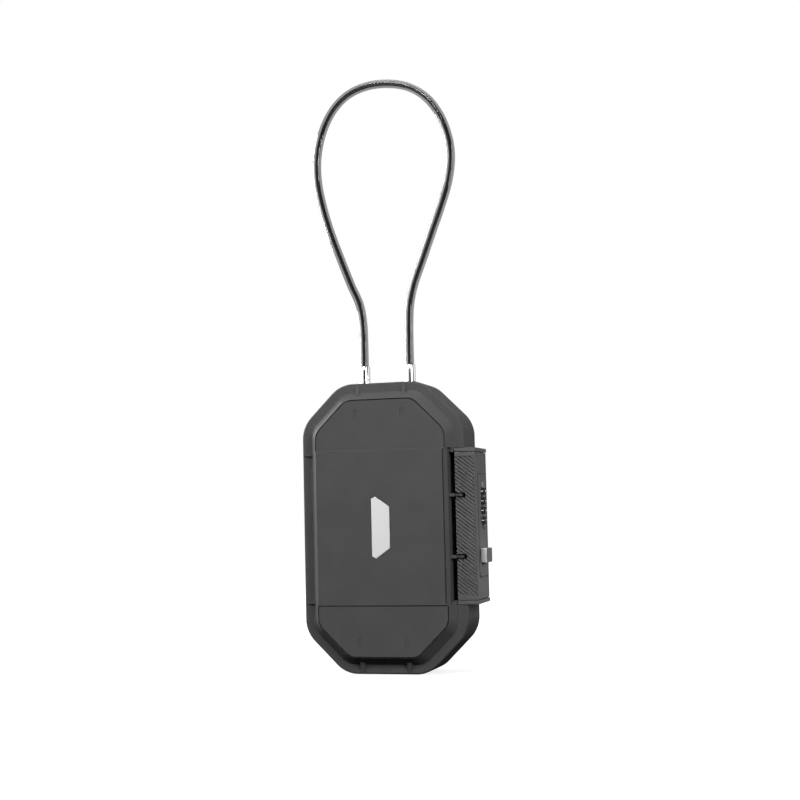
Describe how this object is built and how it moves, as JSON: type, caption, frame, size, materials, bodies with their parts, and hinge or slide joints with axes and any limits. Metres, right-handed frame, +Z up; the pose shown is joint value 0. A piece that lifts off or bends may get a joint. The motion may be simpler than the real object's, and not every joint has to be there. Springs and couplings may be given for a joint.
{
  "type": "portable car safe",
  "caption": "Hinged clamshell car safe with chamfered corners, a side combination lock with a slide release, and a steel tether cable looped from its top.",
  "frame": {"origin": "centre of the bounding box at its bottom, on the surface that the case's lower edge stands on, cable left out", "axes": "+Z up the case's height towards the cable, +X towards the lock, -Y out of the front face"},
  "size_m": [0.1602, 0.0604, 0.5034],
  "materials": {
    "shell": "fine matte texture",
    "lock_body": "satin, diagonal fine grooves on the front",
    "badge": "satin",
    "foam": "closed-cell foam sheet",
    "steel": "zinc plated",
    "chrome": "polished",
    "brass": "turned",
    "dial": "satin black with white numerals",
    "slide": "satin",
    "cable": "smoke-clear jacket over twisted steel wire"
  },
  "bodies": {
    "base": {"rear_shell": "shell", "rear_foam_liner": "foam", "hinge_pin": "steel", "lock_chassis": "lock_body", "lock_housing": "lock_body", "lock_cover": "lock_body", "lock_end_cap_upper": "lock_body", "lock_end_cap_lower": "lock_body", "latch_spring": "steel", "detent_spring": "steel", "case_screw_1": "steel", "case_screw_2": "steel", "case_screw_3": "steel", "case_screw_4": "steel", "cable_loop": "cable", "cable_ferrule_left": "chrome", "cable_ferrule_right": "chrome", "cable_clamp": "steel", "clamp_screw_1": "steel", "clamp_screw_2": "steel"},
    "lid": {"front_shell": "shell", "badge_plate": "badge", "front_foam_liner": "foam"},
    "latch": {"slide_button": "slide", "slide_carrier": "dial", "slide_screw": "steel", "latch_plate": "steel", "latch_pin_1": "steel", "latch_pin_2": "steel", "locking_spindle": "steel"},
    "dial_1": {"number_dial_1": "dial", "code_cam_1": "brass"},
    "dial_2": {"number_dial_2": "dial", "code_cam_2": "brass"},
    "dial_3": {"number_dial_3": "dial", "code_cam_3": "brass"},
    "dial_4": {"number_dial_4": "dial", "code_cam_4": "brass"},
    "reset": {"reset_lever": "dial"}
  },
  "joints": [
    {"name": "lid_hinge", "type": "hinge", "parent": "base", "child": "lid", "pos_m": [-0.0771, 0, 0.12], "axis": [0, 0, -1], "range_deg": [0, 150]},
    {"name": "release_slide", "type": "slide", "parent": "base", "child": "latch", "axis": [0, 0, -1], "range_m": [0, 0.008], "stiffness_N_per_m": 300, "springref_m": -0.006, "deforming": ["latch_spring"]},
    {"name": "dial_1_turn", "type": "hinge", "parent": "base", "child": "dial_1", "pos_m": [0.0678, 0.0062, 0.1479], "axis": [0, 0, 1], "continuous": true},
    {"name": "dial_2_turn", "type": "hinge", "parent": "base", "child": "dial_2", "pos_m": [0.0678, 0.0062, 0.1399], "axis": [0, 0, 1], "continuous": true},
    {"name": "dial_3_turn", "type": "hinge", "parent": "base", "child": "dial_3", "pos_m": [0.0678, 0.0062, 0.1319], "axis": [0, 0, 1], "continuous": true},
    {"name": "dial_4_turn", "type": "hinge", "parent": "base", "child": "dial_4", "pos_m": [0.0678, 0.0062, 0.1239], "axis": [0, 0, 1], "continuous": true},
    {"name": "reset_lever_turn", "type": "hinge", "parent": "base", "child": "reset", "pos_m": [0.0501, 0.009, 0.11], "axis": [1, 0, 0], "range_deg": [0, 90]}
  ]
}
